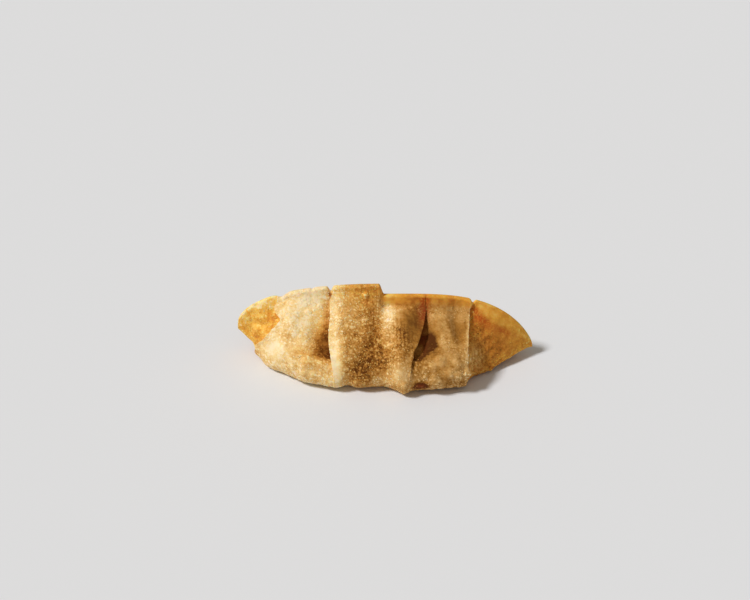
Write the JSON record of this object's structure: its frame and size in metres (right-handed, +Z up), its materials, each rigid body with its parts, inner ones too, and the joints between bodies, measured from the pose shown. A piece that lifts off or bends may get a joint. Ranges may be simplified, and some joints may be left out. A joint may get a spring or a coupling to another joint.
{
  "type": "gyoza",
  "caption": "Pan-fried half-moon dumpling with an arched pressed rim, overlapping front pleats, thin lifted ears and a flat browned base.",
  "frame": {"origin": "middle of the bounding box's bottom face, on the surface that the gyoza stands on", "axes": "+X along the crest, +Z up, and the pleated front faces -Y"},
  "size_m": [0.09, 0.0344, 0.0268],
  "materials": {
    "dough": "fried wheat dough, oily satin, gold with browned folds"
  },
  "bodies": {
    "root": {"gyoza": "dough"}
  },
  "joints": []
}
